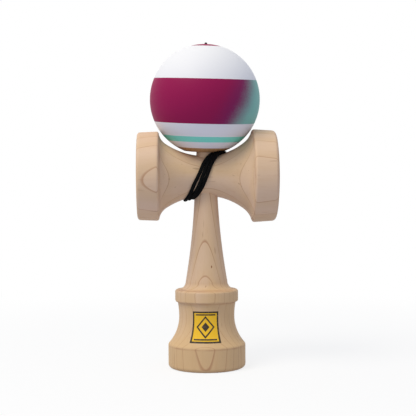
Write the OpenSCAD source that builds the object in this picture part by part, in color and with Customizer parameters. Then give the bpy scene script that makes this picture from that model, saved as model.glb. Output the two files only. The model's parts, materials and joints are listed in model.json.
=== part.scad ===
// Kendama: a turned wooden cup-and-ball toy, standing on its base cup with the ball on the spike.
// Millimetres, +Z up, front towards -Y, origin at the middle of the base cup's rim.

/* [Ball (tama)] */
// Diameter of the ball
ball_d = 60; // [56:0.5:66]
// Diameter of the hole that takes the spike
hole_d = 20.2; // [18:0.1:23]
// Bevel round the mouth of that hole
hole_bevel = 0.65; // [0.3:0.05:1.5]
// Diameter of the string's hole through the top of the ball
ball_string_hole_d = 3; // [2.4:0.1:4]
// Diameter of the countersink where the string leaves the ball
ball_countersink_d = 5; // [4:0.1:7]
// Heading of the ball's lean, from the front towards the right
lean_heading = 12; // [0:1:30]

/* [Handle (ken)] */
// Length of the handle, from the base cup's rim to the tip of the spike
ken_length = 157; // [140:0.5:175]
// How far the spike reaches past the ball's centre
spike_past_centre = 11.26; // [8:0.01:13]
// Diameter of the base
base_d = 42; // [38:0.5:48]
// Width of the flat rim round the base cup
base_rim_w = 1.3; // [0.8:0.1:3]
// Rounding of the base's lower edge
base_edge = 2.2; // [0.5:0.1:3]
// Rounding of the base's upper edge
base_shoulder = 2; // [0.5:0.1:3]
// Diameter of the waist above the base
waist_d = 30.1; // [26:0.1:34]
// Height of the waist
waist_z = 28; // [26:0.5:32]
// Radius of the curve from the base up to the waist
base_flare_r = 22; // [18:0.5:26]
// Radius of the curve from the waist up to the ridge
ridge_flare_r = 40; // [32:1:60]
// How far the ridge stands out from the waist
ridge_out = 2.1; // [1.8:0.05:3]
// Height of the ridge's underside above the waist
ridge_rise = 7.8; // [6:0.1:9]
// Thickness of the ridge
ridge_h = 6.7; // [5:0.1:9]
// Rounding of the ridge's lower edge
ridge_lower_edge = 1.1; // [0.4:0.1:1.3]
// Rounding of the ridge's upper edge
ridge_upper_edge = 1.3; // [0.4:0.1:2]
// Radius of the fillet between the ridge and the stem
stem_fillet = 4.3; // [2:0.1:4.5]
// Diameter of the stem just above that fillet
stem_foot_d = 22.7; // [20:0.1:24]
// Diameter of the stem where the cross-piece's tapered seat begins
seat_d = 12.8; // [12:0.1:13.8]
// Taper of the seat and the spike, as loss of diameter per millimetre of height
spike_taper = 0.1; // [0.08:0.005:0.12]
// Rounding of the spike's tip
tip_round = 2.5; // [1.5:0.1:2.8]

/* [Cross-piece (sarado)] */
// Distance from the handle's axis to the rim of the big cup
big_cup_reach = 37.9; // [35:0.1:43]
// Distance from the handle's axis to the rim of the small cup
small_cup_reach = 37.2; // [35:0.1:43]
// Diameter of the neck in the middle
neck_d = 21.8; // [20:0.1:24]
// Radius of the neck's long curve towards the big cup
big_curve_r = 33.5; // [32:0.5:40]
// Radius of the neck's long curve towards the small cup
small_curve_r = 39.5; // [34:0.5:44]
// Distance from the middle at which the long curve turns into the big cup's flare
big_flare_x = 21; // [16:0.5:22]
// Distance from the middle at which the long curve turns into the small cup's flare
small_flare_x = 21.8; // [18:0.1:23]
// Radius of the flare under the big cup
big_flare_r = 12; // [11:0.1:14]
// Radius of the flare under the small cup
small_flare_r = 8.6; // [8:0.1:12]
// Outer diameter of the big cup, at its inner edge
big_cup_d = 50.7; // [46:0.1:54]
// Outer diameter of the small cup, at its inner edge
small_cup_d = 48.5; // [44:0.1:52]
// Taper of the big cup's outside, in degrees
big_cup_taper = 3; // [0:0.5:5]
// Taper of the small cup's outside, in degrees
small_cup_taper = 2; // [0:0.5:5]
// Rounding of the big cup's rim
big_rim_round = 2.2; // [1:0.1:2.5]
// Rounding of the small cup's rim
small_rim_round = 1.6; // [1:0.1:2.5]
// Width of the flat rim round the big cup's hollow
big_rim_w = 1.1; // [0.6:0.1:3]
// Width of the flat rim round the small cup's hollow
small_rim_w = 1.7; // [0.6:0.1:3]
// Radius of the dish in all three cups
dish_r = 28; // [25:0.5:34]
// Clearance round the tapered seat
seat_gap = 0.04; // [0.02:0.01:0.1]

/* [String and bead] */
// Diameter of the string
string_d = 1.5; // [1.2:0.1:1.8]
// Turns of string round the neck
string_turns = 3; // [2:1:4]
// Space between one turn and the next, along the cross-piece
turn_space = 1.1; // [1.1:0.05:1.4]
// Diameter of the string's hole through the cross-piece and the handle
string_hole_d = 2.6; // [2.2:0.1:3]
// Diameter of the stop bead
bead_d = 7; // [6:0.1:9]
// Length of the stop bead
bead_l = 6.5; // [5:0.1:8]
// Diameter of the bore through the bead
bead_bore_d = 2.4; // [2:0.1:2.8]
// Diameter of the knot at each end of the string
knot_d = 3.6; // [3.2:0.1:4]

/* [Hidden] */
$fn = 96;

maple = [0.87, 0.76, 0.61];
ball_paint = [0.57, 0.15, 0.31];
bead_wood = [0.72, 0.53, 0.33];
black_cord = [0.06, 0.06, 0.07];

// Clearances: bearing faces at rest, knots in their pockets, the ball over what is below it, string on wood
rest_gap = 0.3;
knot_gap = 0.3;
ball_gap = 0.15;
wind_lift = 0.12;
drop_lift = 0.45;
// Least share of its thickness that the string keeps where the ball presses it flat
least_press = 0.4;
// Least width of a flat between two rounded edges
least_flat = 0.1;
// Steps in a drawn curve, and sides of a tube where it runs free and where it is wound
curve_steps = 8;
free_sides = 8;
wound_sides = 6;
rings_per_turn = 24;
// How far a cutting shape reaches past what it cuts
past = 1;

ball_r = ball_d / 2;
hole_r = hole_d / 2;
base_r = base_d / 2;
waist_r = waist_d / 2;
ridge_r = waist_r + ridge_out;
stem_foot_r = stem_foot_d / 2;
neck_r = neck_d / 2;
string_r = string_d / 2;
knot_r = knot_d / 2;

function unit(v) = v / norm(v);

// An arc of a profile, from one angle to another round a centre.
function arc(c, r, from, to, steps = curve_steps) =
    [for (i = [0:steps])
        let (a = from + (to - from) * i / steps)
        [c.x + r * cos(a), c.y + r * sin(a)]];

// Cross-piece: the neck's long curve runs tangent into a flare, which ends at the inner edge of each cup.
// Its halves differ. Each list below has the half of the big cup first.
BIG = 0;
SMALL = 1;
HALVES = [BIG, SMALL];
cup_r = [big_cup_d, small_cup_d] / 2;
cup_reach = [big_cup_reach, small_cup_reach];
cup_taper = [big_cup_taper, small_cup_taper];
rim_round = [big_rim_round, small_rim_round];
rim_w = [big_rim_w, small_rim_w];
curve_r = [big_curve_r, small_curve_r];
flare_x = [big_flare_x, small_flare_x];
flare_r = [big_flare_r, small_flare_r];
flare_turn = [for (s = HALVES) asin(flare_x[s] / curve_r[s])];
flare_mid = [for (s = HALVES) [flare_x[s] - flare_r[s] * sin(flare_turn[s]),
                               neck_r + curve_r[s] - (curve_r[s] - flare_r[s]) * cos(flare_turn[s])]];
flare_end = [for (s = HALVES) acos((flare_mid[s].y - cup_r[s]) / flare_r[s])];
cup_edge_x = [for (s = HALVES) flare_mid[s].x + flare_r[s] * sin(flare_end[s])];
cup_rim_r = [for (s = HALVES) cup_r[s] - tan(cup_taper[s]) * (cup_reach[s] - cup_edge_x[s])];
cup_hollow_r = [for (s = HALVES) cup_rim_r[s] - rim_round[s] - rim_w[s]];
base_hollow_r = base_r - base_edge - base_rim_w;
function dish_centre(hollow_r) = sqrt(pow(dish_r, 2) - pow(hollow_r, 2));
function neck_r_at(x) =
    let (long_r = curve_r[x > 0 ? BIG : SMALL])
    neck_r + long_r - sqrt(pow(long_r, 2) - pow(x, 2));

// The winding lies on the neck. Its angle is 0 at the front and 90 on top, and it ends at the string's hole
// at the back. It crosses from the left of the stem to the right of the spike and back again.
turn_step = string_d + turn_space;
wind_front = 1.1;
wind_side = 2.75;
wind_cross = 4.4;
wind_hook_in = 1.9;
wind_hook = seat_d / 2 - wind_hook_in;
wind_start = -151;
wind_end = 180 + 360 * (string_turns - 1);
wind_bend = 14.5;
wind_lead = 16;
function wind_x(a) = wind_front * (1 + cos(a)) / 2 + wind_side * pow(sin(a), 2) + wind_cross * sin(a)
                     + wind_hook * pow(sin(a), 5) + turn_step * (a - wind_end) / 360;

// The ball hangs on the spike's tip by its stop bead, and leans until the hole's lower edge meets the spike.
// The spike's taper starts at the cross-piece's seat, so the lean follows from the ball's height above it.
bead_bottom = spike_past_centre + rest_gap;
hole_end = bead_bottom + bead_l + rest_gap;
mouth_z = sqrt(pow(ball_r, 2) - pow(hole_r + hole_bevel, 2));
lever = bead_bottom + mouth_z - hole_bevel;
pivot_z = ken_length + rest_gap;
lean_room = hole_r - rest_gap;
seat_below_neck = 2.1;
function seat_under(h) = ken_length - spike_past_centre - h - neck_r - seat_below_neck;
function tapered_r(z, start_z) = (seat_d - spike_taper * (z - start_z)) / 2;
function lean_over(h) =
    acos(tapered_r(pivot_z - lever, seat_under(h)) / norm([lever, lean_room])) - atan2(lever, lean_room);
function aside_over(h) = bead_bottom * sin(lean_over(h)) * sin(lean_heading);

// The ball lies as low over the cross-piece as the cups' edges and the string, pressed flat, allow. Its lean
// takes it aside, towards the small cup.
function over_edge(x, r, reach) = reach > abs(x) ? r + sqrt(pow(reach, 2) - pow(x, 2)) : 0;
function lowest_over(aside) = max(concat(
    [for (t = [0:string_turns - 1])
        let (x = wind_x(90 + 360 * t))
        over_edge(x + aside, neck_r_at(x) + wind_lift + least_press * string_d, ball_r + ball_gap)],
    [over_edge(cup_edge_x[BIG] + aside, cup_r[BIG], ball_r + ball_gap),
     over_edge(cup_edge_x[SMALL] - aside, cup_r[SMALL], ball_r + ball_gap)]));
ball_h = lowest_over(aside_over(lowest_over(0)));
sarado_z = ken_length - spike_past_centre - ball_h;
lean = lean_over(ball_h);
ball_axis = [sin(lean) * sin(lean_heading), -sin(lean) * cos(lean_heading), cos(lean)];
ball_centre = [0, 0, pivot_z] - bead_bottom * ball_axis;
function on_ball_axis(z) = ball_centre + z * ball_axis;

// The seat of the cross-piece starts a little below its neck and runs on, at one taper, to the spike's tip.
seat_z = seat_under(ball_h);
function spike_r(z) = tapered_r(z, seat_z);

// The stem swells from the seat down to its foot, as a parabola that leaves the seat at the seat's taper.
ridge_z = waist_z + ridge_rise;
ridge_top = ridge_z + ridge_h;
foot_fillet = min(stem_fillet, ridge_r - ridge_upper_edge - stem_foot_r - least_flat);
stem_foot_z = ridge_top + foot_fillet;
stem_l = seat_z - stem_foot_z;
stem_swell = (stem_foot_r - spike_r(stem_foot_z)) / pow(stem_l, 2);
function stem_r(z) = spike_r(z) + stem_swell * pow(seat_z - z, 2);

// Knots: each sits in a pocket, with a flat where the string comes out of it.
knot_flat = 0.7 * knot_r;
knot_pocket_d = knot_d + 2 * knot_gap;
knot_pocket_l = knot_r + knot_flat + knot_gap;
bead_knot_z = bead_bottom + knot_r;
core_start = bead_knot_z + knot_flat;
ken_pocket_y = -1.6;
tail_end_y = ken_pocket_y - knot_gap;
ken_knot_y = tail_end_y - knot_flat;

// Route of the winding: in from the ball along a straight lead, round the neck, and into the hole at the back.
// Where the ball comes close, the string is pressed flat between the ball and the neck.
function wind_out(a) = [0, -cos(a), sin(a)];
function ball_room(x, a) =
    let (to_ball = ball_centre - [x, 0, sarado_z],
         b = to_ball * wind_out(a),
         d = b * b - to_ball * to_ball + pow(ball_r + ball_gap / 2, 2))
    b > 0 && d > 0 ? b - sqrt(d) : ball_d;
function wind_thick(a) =
    let (x = wind_x(a))
    min(string_d, ball_room(x, a) - neck_r_at(x) - wind_lift);
function wind_point(a) =
    let (x = wind_x(a), r = neck_r_at(x) + wind_lift + wind_thick(a) / 2)
    [x, 0, sarado_z] + r * wind_out(a);
function wind_press(a) = sqrt(1 - wind_thick(a) / string_d) * wind_out(a);
wind_first = wind_point(wind_start);
wind_first_dir = unit(wind_point(wind_start + 1) - wind_first);
wind_join = wind_first - wind_lead * wind_first_dir;
wind_last = wind_point(wind_end - wind_bend);
hole_side = [-wind_last.x, 0, sarado_z - wind_last.z];
hole_bend_r = norm(hole_side);
hole_bend_steps = 6;
tail_start_y = wind_last.y - hole_bend_r - string_d;
wind_steps = round(rings_per_turn * (wind_end - wind_bend - wind_start) / 360);
wind_angles = [for (i = [0:wind_steps]) wind_start + (wind_end - wind_bend - wind_start) * i / wind_steps];
lead_route = [wind_join, wind_join + string_d * wind_first_dir, wind_first - wind_lead / 2 * wind_first_dir];
winding_press = concat([for (p = lead_route) [0, 0, 0]], [for (a = wind_angles) wind_press(a)]);
winding_route = concat(
    lead_route,
    [for (a = wind_angles) wind_point(a)],
    [for (i = [1:hole_bend_steps])
        let (a = 90 * i / hole_bend_steps)
        wind_last + sin(a) * hole_side + [0, hole_bend_r * (cos(a) - 1), 0]],
    [[0, tail_start_y, sarado_z]]);

// Route of the free stretch: out of the top of the ball, over its back, and straight on to the winding.
// The points on the back are [angle above the ball's centre, distance to the right of it].
core_in = 4;
over_in = 1.7;
over_r = 3;
core_end = ball_r - core_in;
back_dir = unit([0, 1, 0] - ball_axis.y * ball_axis);
lay_r = ball_r + string_r + drop_lift;
lay_points = [
    [88, 0.8], [82, 0.7], [74, 0.6], [66, 0.4], [57, 0.2], [48, 0], [39, -0.3], [30, -0.6], [20, -0.9],
    [10, -1.3], [0, -1.7], [-10, -2.1], [-18, -2.5], [-25.5, -2.9]];
lay_route = [for (p = lay_points) ball_centre + [p[1], lay_r * cos(p[0]), lay_r * sin(p[0])]];
lay_last = lay_route[len(lay_route) - 1];
drop_run = wind_join - string_d * wind_first_dir - lay_last;
drop_steps = 6;
drop_route = concat(
    [on_ball_axis(core_end)],
    [for (a = [0:20:80])
        on_ball_axis(ball_r - over_in + over_r * sin(a)) + over_r * (1 - cos(a)) * back_dir],
    lay_route,
    [for (i = [1:drop_steps]) lay_last + drop_run * i / drop_steps],
    [wind_join]);

// Printed measures: the winding's least gap to itself, the string's length, and the joints' places.
function to_segment(p, a, b) =
    let (along = b - a, t = max(0, min(1, (p - a) * along / (along * along))))
    norm(p - a - t * along);
function sum_of(list) = [for (v = list) 1] * list;
function length_of(p) = sum_of([for (i = [1:len(p) - 1]) norm(p[i] - p[i - 1])]);
near_rings = 6;
last_ring = len(winding_route) - 1;
winding_gap = min([
    for (i = [0:last_ring])
        for (j = [0:last_ring - 1])
            if (abs(i - j) > near_rings)
                to_segment(winding_route[i], winding_route[j], winding_route[j + 1])]) - string_d;
string_l = core_end - core_start + length_of(drop_route) + length_of(winding_route) + tail_start_y - tail_end_y;
echo(winding_gap = winding_gap, string_length = string_l, sarado_z = sarado_z, lean = lean);
echo(ball_centre = ball_centre, ball_axis = ball_axis, wind_join = wind_join);

// A closed tube of triangles along a route, with its rings square to the route and untwisted. A ring that has
// a press vector is flattened along it: by the vector's length, squared, as a share of its thickness.
function directions(p) = [for (i = [0:len(p) - 1]) unit(p[min(i + 1, len(p) - 1)] - p[max(i - 1, 0)])];
function across(t) =
    [for (i = 0, n = unit(cross(t[0], [1, 0, 0]));
          i < len(t);
          i = i + 1, n = i < len(t) ? unit(n - (n * t[i]) * t[i]) : n) n];

module tube(route, r, sides, press = []) {
    t = directions(route);
    n = across(t);
    last = len(route) - 1;
    rings = [
        for (i = [0:last])
            for (k = [0:sides - 1])
                let (a = 360 * k / sides,
                     out = r * (cos(a) * n[i] + sin(a) * cross(t[i], n[i])),
                     flat = i < len(press) ? press[i] : [0, 0, 0])
                route[i] + out - (out * flat) * flat];
    walls = [
        for (i = [0:last - 1])
            for (k = [0:sides - 1])
                let (a = i * sides + k, b = i * sides + (k + 1) % sides)
                each [[a, a + sides, b], [b, a + sides, b + sides]]];
    ends = [
        for (k = [1:sides - 2])
            each [[0, k, k + 1], [last * sides, last * sides + k + 1, last * sides + k]]];
    polyhedron(points = rings, faces = concat(walls, ends), convexity = 10);
}

// Places a piece in the ball's own frame: its centre, and its axis from the hole up to the string.
module on_ball() {
    translate(ball_centre)
        rotate([lean, 0, lean_heading])
            children();
}

// Turns a piece drawn along +Z to lie along +Y at the height of the cross-piece.
module across_neck(y) {
    translate([0, y, sarado_z])
        rotate([-90, 0, 0])
            children();
}

// A knot with its flat towards +Z, centred on the origin.
module knot() {
    intersection() {
        sphere(r = knot_r);
        translate([0, 0, knot_flat - knot_d])
            cylinder(r = knot_d, h = knot_d);
    }
}

// Half outline of the handle, as [radius, height], from the rim up to the tip.
flare_c = [waist_r + base_flare_r, waist_z];
shoulder_r = base_r - base_shoulder;
shoulder_drop = sqrt(pow(base_flare_r + base_shoulder, 2) - pow(flare_c.x - shoulder_r, 2));
shoulder_a = atan2(shoulder_drop, flare_c.x - shoulder_r);
waist_top_r = ridge_r - ridge_lower_edge;
under_ridge_r = waist_r + ridge_flare_r * (1 - cos(asin(ridge_rise / ridge_flare_r)));
under_ridge_fillet = max(least_flat, waist_top_r - under_ridge_r);
under_ridge_a = asin((ridge_rise - under_ridge_fillet) / ridge_flare_r);
tip_edge = min(tip_round, spike_r(ken_length));
tip_r = spike_r(ken_length - tip_edge);
ken_outline = concat(
    [[0, 0]],
    arc([base_r - base_edge, base_edge], base_edge, -90, 0),
    arc([shoulder_r, waist_z - shoulder_drop], base_shoulder, 0, shoulder_a),
    arc(flare_c, base_flare_r, 180 + shoulder_a, 180, 2 * curve_steps),
    arc([waist_r + ridge_flare_r, waist_z], ridge_flare_r, 180, 180 - under_ridge_a),
    arc([waist_top_r, ridge_z - under_ridge_fillet], under_ridge_fillet, 180, 90),
    arc([waist_top_r, ridge_z + ridge_lower_edge], ridge_lower_edge, -90, 0),
    arc([ridge_r - ridge_upper_edge, ridge_top - ridge_upper_edge], ridge_upper_edge, 0, 90),
    arc([stem_foot_r + foot_fillet, stem_foot_z], foot_fillet, 270, 180),
    [for (i = [1:2 * curve_steps])
        let (z = stem_foot_z + stem_l * i / (2 * curve_steps))
        [stem_r(z), z]],
    arc([tip_r - tip_edge, ken_length - tip_edge], tip_edge, 0, 90),
    [[0, ken_length]]);

module ken() {
    color(maple)
        difference() {
            rotate_extrude()
                polygon(ken_outline);
            translate([0, 0, -dish_centre(base_hollow_r)])
                sphere(r = dish_r);
            across_neck(ken_pocket_y - past)
                cylinder(d = string_hole_d, h = seat_d);
            across_neck(ken_pocket_y - seat_d)
                cylinder(d = knot_pocket_d, h = seat_d);
        }
}

// Half outline of the cross-piece, as [radius, distance from the middle], from the small cup to the big one.
function half_sarado(s) = concat(
    [for (p = arc([0, neck_r + curve_r[s]], curve_r[s], 270, 270 + flare_turn[s])) [p.y, p.x]],
    [for (p = arc(flare_mid[s], flare_r[s], 270 + flare_turn[s], 270 + flare_end[s])) [p.y, p.x]],
    [for (p = arc([cup_reach[s] - rim_round[s], cup_rim_r[s] - rim_round[s]], rim_round[s], 90 - cup_taper[s], 0))
        [p.y, p.x]],
    [[0, cup_reach[s]]]);
big_half = half_sarado(BIG);
small_half = half_sarado(SMALL);
sarado_outline = concat(
    [for (i = [len(small_half) - 1:-1:1]) [small_half[i].x, -small_half[i].y]],
    big_half);

module cup_hollow(s) {
    side = s == BIG ? 1 : -1;
    translate([side * (cup_reach[s] + dish_centre(cup_hollow_r[s])), 0, sarado_z])
        sphere(r = dish_r);
}

// The string's hole opens at 45 degrees to a countersink as wide as the string's bend needs.
neck_sink_l = 1.7;
neck_sink_lead = 0.6;
neck_sink_r = string_hole_d / 2 - neck_sink_lead;
neck_sink_h = neck_sink_l + neck_sink_lead + past;

module sarado() {
    color(maple)
        difference() {
            translate([0, 0, sarado_z])
                rotate([0, 90, 0])
                    rotate_extrude()
                        polygon(sarado_outline);
            cup_hollow(BIG);
            cup_hollow(SMALL);
            translate([0, 0, sarado_z - neck_d])
                cylinder(r1 = spike_r(sarado_z - neck_d) + seat_gap,
                         r2 = spike_r(sarado_z + neck_d) + seat_gap, h = 2 * neck_d);
            across_neck(0)
                cylinder(d = string_hole_d, h = neck_d);
            across_neck(neck_r + wind_lift - neck_sink_l - neck_sink_lead)
                cylinder(r1 = neck_sink_r, r2 = neck_sink_r + neck_sink_h, h = neck_sink_h);
        }
}

module tama() {
    ball_sink_l = (ball_countersink_d - ball_string_hole_d) / 2;
    color(ball_paint)
        on_ball()
            difference() {
                sphere(r = ball_r);
                translate([0, 0, -ball_d])
                    cylinder(r = hole_r, h = ball_d + hole_end);
                translate([0, 0, -mouth_z - past])
                    cylinder(r1 = hole_r + hole_bevel + past, r2 = hole_r, h = hole_bevel + past);
                cylinder(d = ball_string_hole_d, h = ball_d);
                translate([0, 0, ball_r - ball_sink_l])
                    cylinder(d1 = ball_string_hole_d, d2 = ball_countersink_d, h = ball_sink_l);
            }
}

// The bead is a rounded barrel, bored for the string, with a pocket below that hides the knot.
bead_round = 1.2;
module stop_bead() {
    bead_r = bead_d / 2;
    color(bead_wood)
        on_ball()
            translate([0, 0, bead_bottom])
                difference() {
                    rotate_extrude()
                        polygon(concat(
                            [[0, 0]],
                            arc([bead_r - bead_round, bead_round], bead_round, -90, 0),
                            arc([bead_r - bead_round, bead_l - bead_round], bead_round, 0, 90),
                            [[0, bead_l]]));
                    translate([0, 0, -past])
                        cylinder(d = bead_bore_d, h = bead_l + 2 * past);
                    translate([0, 0, -past])
                        cylinder(d = knot_pocket_d, h = knot_pocket_l + past);
                }
}

module bead_knot() {
    color(black_cord)
        on_ball()
            translate([0, 0, bead_knot_z])
                knot();
}

module string_core() {
    color(black_cord)
        on_ball()
            translate([0, 0, core_start])
                cylinder(d = string_d, h = core_end - core_start);
}

module string_drop() {
    color(black_cord)
        tube(drop_route, string_r, free_sides);
}

module string_winding() {
    color(black_cord)
        tube(winding_route, string_r, wound_sides, winding_press);
}

module string_tail() {
    color(black_cord)
        across_neck(tail_end_y)
            cylinder(d = string_d, h = tail_start_y - tail_end_y);
}

module ken_knot() {
    color(black_cord)
        across_neck(ken_knot_y)
            knot();
}

ken();
sarado();
tama();
stop_bead();
bead_knot();
string_core();
string_drop();
string_winding();
string_tail();
ken_knot();
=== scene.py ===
"""Kendama: a turned wooden cup-and-ball toy that stands on its base cup, with its ball on the spike.

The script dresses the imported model. Lengths are metres, +Z is up and the front is towards -Y.
"""

import json
import math

import bpy
import numpy as np
from bpy.props import FloatProperty, FloatVectorProperty, IntProperty, PointerProperty
from mathutils import Matrix, Vector


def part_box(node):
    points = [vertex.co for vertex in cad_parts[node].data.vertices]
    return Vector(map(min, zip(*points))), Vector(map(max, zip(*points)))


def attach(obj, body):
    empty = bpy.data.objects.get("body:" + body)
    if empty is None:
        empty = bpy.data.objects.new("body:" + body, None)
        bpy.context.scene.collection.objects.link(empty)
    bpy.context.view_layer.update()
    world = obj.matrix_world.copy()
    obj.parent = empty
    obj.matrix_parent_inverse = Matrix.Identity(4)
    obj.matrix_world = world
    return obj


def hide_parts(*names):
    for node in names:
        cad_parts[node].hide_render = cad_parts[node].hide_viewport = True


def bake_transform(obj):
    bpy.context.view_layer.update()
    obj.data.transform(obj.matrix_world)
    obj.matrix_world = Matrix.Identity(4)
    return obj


bl_info = {
    "name": "Kendama",
    "version": (1, 0, 0),
    "blender": (4, 5, 0),
    "location": "View3D > Sidebar > Kendama",
    "description": "Builds a wooden cup-and-ball toy and the stage it stands on",
    "category": "Add Mesh",
}

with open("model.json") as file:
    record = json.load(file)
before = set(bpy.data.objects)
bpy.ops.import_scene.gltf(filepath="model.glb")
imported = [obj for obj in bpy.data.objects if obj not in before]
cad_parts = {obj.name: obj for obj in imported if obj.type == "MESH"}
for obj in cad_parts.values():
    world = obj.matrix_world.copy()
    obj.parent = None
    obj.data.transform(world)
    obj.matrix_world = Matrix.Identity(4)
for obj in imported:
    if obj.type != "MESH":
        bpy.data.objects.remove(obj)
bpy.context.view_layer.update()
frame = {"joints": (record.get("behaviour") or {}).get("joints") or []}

JOINTS = {joint["name"]: joint for joint in frame["joints"]}
BALL_CENTRE = np.array(JOINTS["tama_spin"]["pos_m"])
BALL_AXIS = np.array(JOINTS["tama_spin"]["axis"])
BALL_AXIS = BALL_AXIS / np.linalg.norm(BALL_AXIS)
BALL_LEAN = math.acos(BALL_AXIS[2])
BALL_HEADING = math.atan2(BALL_AXIS[0], -BALL_AXIS[1])
CROSS_Z = float(sum(corner.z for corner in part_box("sarado")) / 2)
HANDLE_TOP = float(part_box("ken")[1].z)
CUP_REACH = {"big": float(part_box("sarado")[1].x), "small": -float(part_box("sarado")[0].x)}


def size(name, description, default):
    """A length that a user may change."""
    return FloatProperty(
        name=name, description=description, default=default, min=0.0, unit="LENGTH", precision=5)


def angle(name, description, degrees):
    """An angle that a user may change."""
    return FloatProperty(
        name=name, description=description, default=math.radians(degrees), subtype="ANGLE")


def colour(name, description, red, green, blue):
    """A colour that a user may change, given as the eight-bit values that a screen shows."""
    shown = np.array((red, green, blue)) / 255
    light = np.where(shown <= 0.04045, shown / 12.92, ((shown + 0.055) / 1.055) ** 2.4)
    return FloatVectorProperty(
        name=name, description=description, default=tuple(light), min=0.0, max=1.0, subtype="COLOR")


class HandleSizes(bpy.types.PropertyGroup):
    """Sizes of the handle, the ken."""

    base_r: size("Base radius", "Radius of the base", 0.021)
    base_rim: size("Base rim", "Width of the flat rim round the base cup", 0.0013)
    base_edge: size("Base edge", "Rounding of the base's lower edge", 0.0022)
    base_shoulder: size("Base shoulder", "Rounding of the base's upper edge", 0.002)
    base_flare: size("Base flare", "Radius of the curve from the base up to the waist", 0.022)
    dish_r: size("Dish radius", "Radius of the hollow sphere of the cups", 0.028)
    waist_r: size("Waist radius", "Radius of the waist", 0.01505)
    waist_z: size("Waist height", "Height of the waist", 0.028)
    ridge_out: size("Ridge", "How far the ridge stands out from the waist", 0.0021)
    ridge_rise: size("Ridge rise", "Height of the ridge's underside above the waist", 0.0078)
    ridge_h: size("Ridge height", "Thickness of the ridge", 0.0067)
    ridge_flare: size("Ridge flare", "Radius of the curve from the waist to the ridge", 0.04)
    ridge_lower: size("Ridge lower edge", "Rounding of the ridge's lower edge", 0.0011)
    ridge_upper: size("Ridge upper edge", "Rounding of the ridge's upper edge", 0.0013)
    foot_r: size("Stem foot", "Radius of the stem just above the ridge", 0.01135)
    foot_fillet: size("Stem fillet", "Fillet between the ridge and the stem", 0.0043)
    seat_r: size("Seat radius", "Radius of the stem where the cross-piece's seat begins", 0.0064)
    seat_below: size("Seat start", "Height of the cross-piece's middle above the seat's start", 0.013)
    tip_round: size("Tip", "Rounding of the spike's tip", 0.0025)
    taper: FloatProperty(
        name="Taper", description="Loss of radius per length of the seat and the spike",
        default=0.05, min=0.0)


class CrossPieceSizes(bpy.types.PropertyGroup):
    """Sizes of the cross-piece, the sarado."""

    neck_r: size("Neck radius", "Radius of the neck at its middle", 0.0109)
    big_curve: size("Big curve", "Radius of the neck's long curve towards the big cup", 0.0335)
    small_curve: size("Small curve", "Radius of the neck's long curve towards the small cup", 0.0395)
    big_start: size("Big flare start", "Distance from the middle to the big cup's flare", 0.021)
    small_start: size("Small flare start", "Distance from the middle to the small cup's flare", 0.0218)
    big_flare: size("Big flare", "Radius of the flare under the big cup", 0.012)
    small_flare: size("Small flare", "Radius of the flare under the small cup", 0.0086)
    big_r: size("Big cup", "Radius of the big cup at its inner edge", 0.02535)
    small_r: size("Small cup", "Radius of the small cup at its inner edge", 0.02425)
    big_round: size("Big rim rounding", "Rounding of the big cup's rim", 0.0022)
    small_round: size("Small rim rounding", "Rounding of the small cup's rim", 0.0016)
    big_rim: size("Big rim", "Width of the flat rim of the big cup", 0.0011)
    small_rim: size("Small rim", "Width of the flat rim of the small cup", 0.0017)
    seat_gap: size("Seat gap", "Room between the bore and the handle", 0.00004)
    big_taper: angle("Big taper", "Taper of the big cup's side", 3)
    small_taper: angle("Small taper", "Taper of the small cup's side", 2)


class BallSizes(bpy.types.PropertyGroup):
    """Sizes of the ball, the tama, and of its bead, along the ball's own axis from its centre."""

    ball_r: size("Ball radius", "Radius of the ball", 0.03)
    hole_r: size("Hole radius", "Radius of the hole that takes the spike", 0.0101)
    hole_end: size("Hole end", "Height of the hole's end above the ball's centre", 0.01836)
    hole_bevel: size("Hole bevel", "Bevel round the mouth of the hole", 0.00065)
    string_hole: size("String hole", "Radius of the string's hole", 0.0015)
    sink: size("Countersink", "Depth of the countersink round the string's hole", 0.001)
    bead_r: size("Bead radius", "Radius of the stop bead", 0.0035)
    bead_low: size("Bead bottom", "Height of the bead's lower face", 0.01156)
    bead_l: size("Bead length", "Length of the stop bead", 0.0065)
    bead_round: size("Bead rounding", "Rounding of the bead's edges", 0.0012)
    bead_bore: size("Bead bore", "Radius of the bead's bore", 0.0012)
    pocket_r: size("Pocket radius", "Radius of the pocket for the knot", 0.0021)
    pocket_l: size("Pocket depth", "Depth of the pocket for the knot", 0.00336)


class StringSizes(bpy.types.PropertyGroup):
    """Sizes of the string and its winding round the neck."""

    string_r: size("String radius", "Radius of the string", 0.00075)
    lift: size("Lift", "Room between the string and the wood that it lies on", 0.00012)
    lay_lift: size("Ball lift", "Room between the string and the back of the ball", 0.00012)
    step: size("Turn step", "Distance from one turn to the next along the cross-piece", 0.00215)
    front: size("Front shift", "How far the turns stand to the right at the front", 0.00133)
    side: size("Side shift", "How far the turns stand to the right above and below", 0.00203)
    cross: size("Crossing", "How far the turns slant across the neck", 0.00412)
    hook: size("Hook", "How far the turns hook round the stem and the spike", 0.004)
    slack: size("Slack", "How far the first turn lies apart from the next below the front", 0.0008)
    tent: size("Tent", "How far the turns stand off the neck on their way up to the ball", 0.0014)
    over_r: size("Bend", "Radius of the string's bend over the top of the ball", 0.0026)
    knot_r: size("Knot radius", "Radius over a knot", 0.0018)
    hole_r: size("Hole radius", "Radius of the string's hole through the neck", 0.0013)
    turns: IntProperty(name="Turns", description="Turns of string round the neck", default=3, min=2, max=4)


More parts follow.
